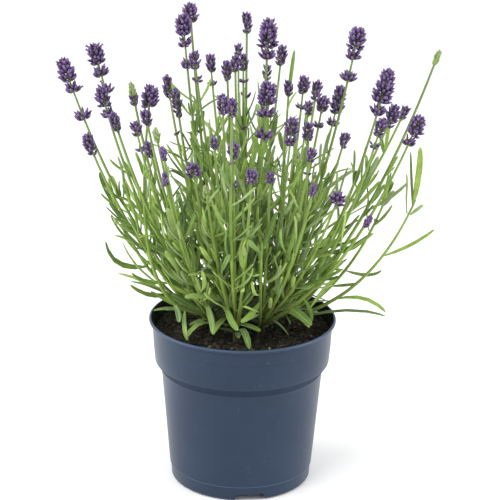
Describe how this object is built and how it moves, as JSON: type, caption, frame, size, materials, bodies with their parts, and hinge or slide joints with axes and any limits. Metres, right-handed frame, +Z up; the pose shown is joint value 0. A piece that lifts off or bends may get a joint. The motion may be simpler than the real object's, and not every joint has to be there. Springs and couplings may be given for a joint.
{
  "type": "potted lavender plant",
  "caption": "Lavender in flower in a plastic nursery pot: leafy green stems, upright purple flower spikes, dark potting soil and a tapering slate-blue pot with a rolled rim.",
  "frame": {"origin": "middle of the pot's underside, on the ground, where its centre pad stands", "axes": "+Z up along the pot's axis, +X to the right and +Y away from the viewer as the picture shows it"},
  "size_m": [0.2608, 0.2003, 0.335],
  "materials": {
    "pot_plastic": "satin",
    "potting_soil": "matte",
    "leaf_and_stem": "matte",
    "flower": "matte"
  },
  "bodies": {
    "root": {"flower_spike_01": "flower", "flower_spike_02": "flower", "flower_spike_03": "flower", "flower_spike_04": "flower", "flower_spike_05": "flower", "flower_spike_06": "flower", "flower_spike_07": "flower", "flower_spike_08": "flower", "flower_spike_09": "flower", "flower_spike_10": "flower", "flower_spike_11": "flower", "flower_spike_12": "flower", "flower_spike_13": "flower", "flower_spike_14": "flower", "flower_spike_15": "flower", "flower_spike_16": "flower", "flower_spike_17": "flower", "flower_spike_18": "flower", "flower_spike_19": "flower", "flower_spike_20": "flower", "flower_spike_21": "flower", "flower_spike_22": "flower", "flower_spike_23": "flower", "flower_spike_24": "flower", "flower_spike_25": "flower", "flower_spike_26": "flower", "flower_spike_27": "flower", "flower_spike_28": "flower", "flower_spike_29": "flower", "flower_spike_30": "flower", "flower_spike_31": "flower", "flower_spike_32": "flower", "flower_spike_33": "flower", "flower_spike_34": "flower", "flower_spike_35": "flower", "flower_spike_36": "flower", "flower_spike_37": "flower", "flower_spike_38": "flower", "flower_spike_39": "flower", "flower_spike_40": "flower", "flower_spike_41": "flower", "flower_spike_42": "flower", "flower_spike_43": "flower", "flower_spike_44": "flower", "flower_spike_45": "flower", "flower_spike_46": "flower", "flower_spike_47": "flower", "flower_spike_48": "flower", "leafy_stem_01": "leaf_and_stem", "leafy_stem_02": "leaf_and_stem", "leafy_stem_03": "leaf_and_stem", "leafy_stem_04": "leaf_and_stem", "leafy_stem_05": "leaf_and_stem", "leafy_stem_06": "leaf_and_stem", "leafy_stem_07": "leaf_and_stem", "leafy_stem_08": "leaf_and_stem", "leafy_stem_09": "leaf_and_stem", "leafy_stem_10": "leaf_and_stem", "pot": "pot_plastic", "soil": "potting_soil"}
  },
  "joints": []
}
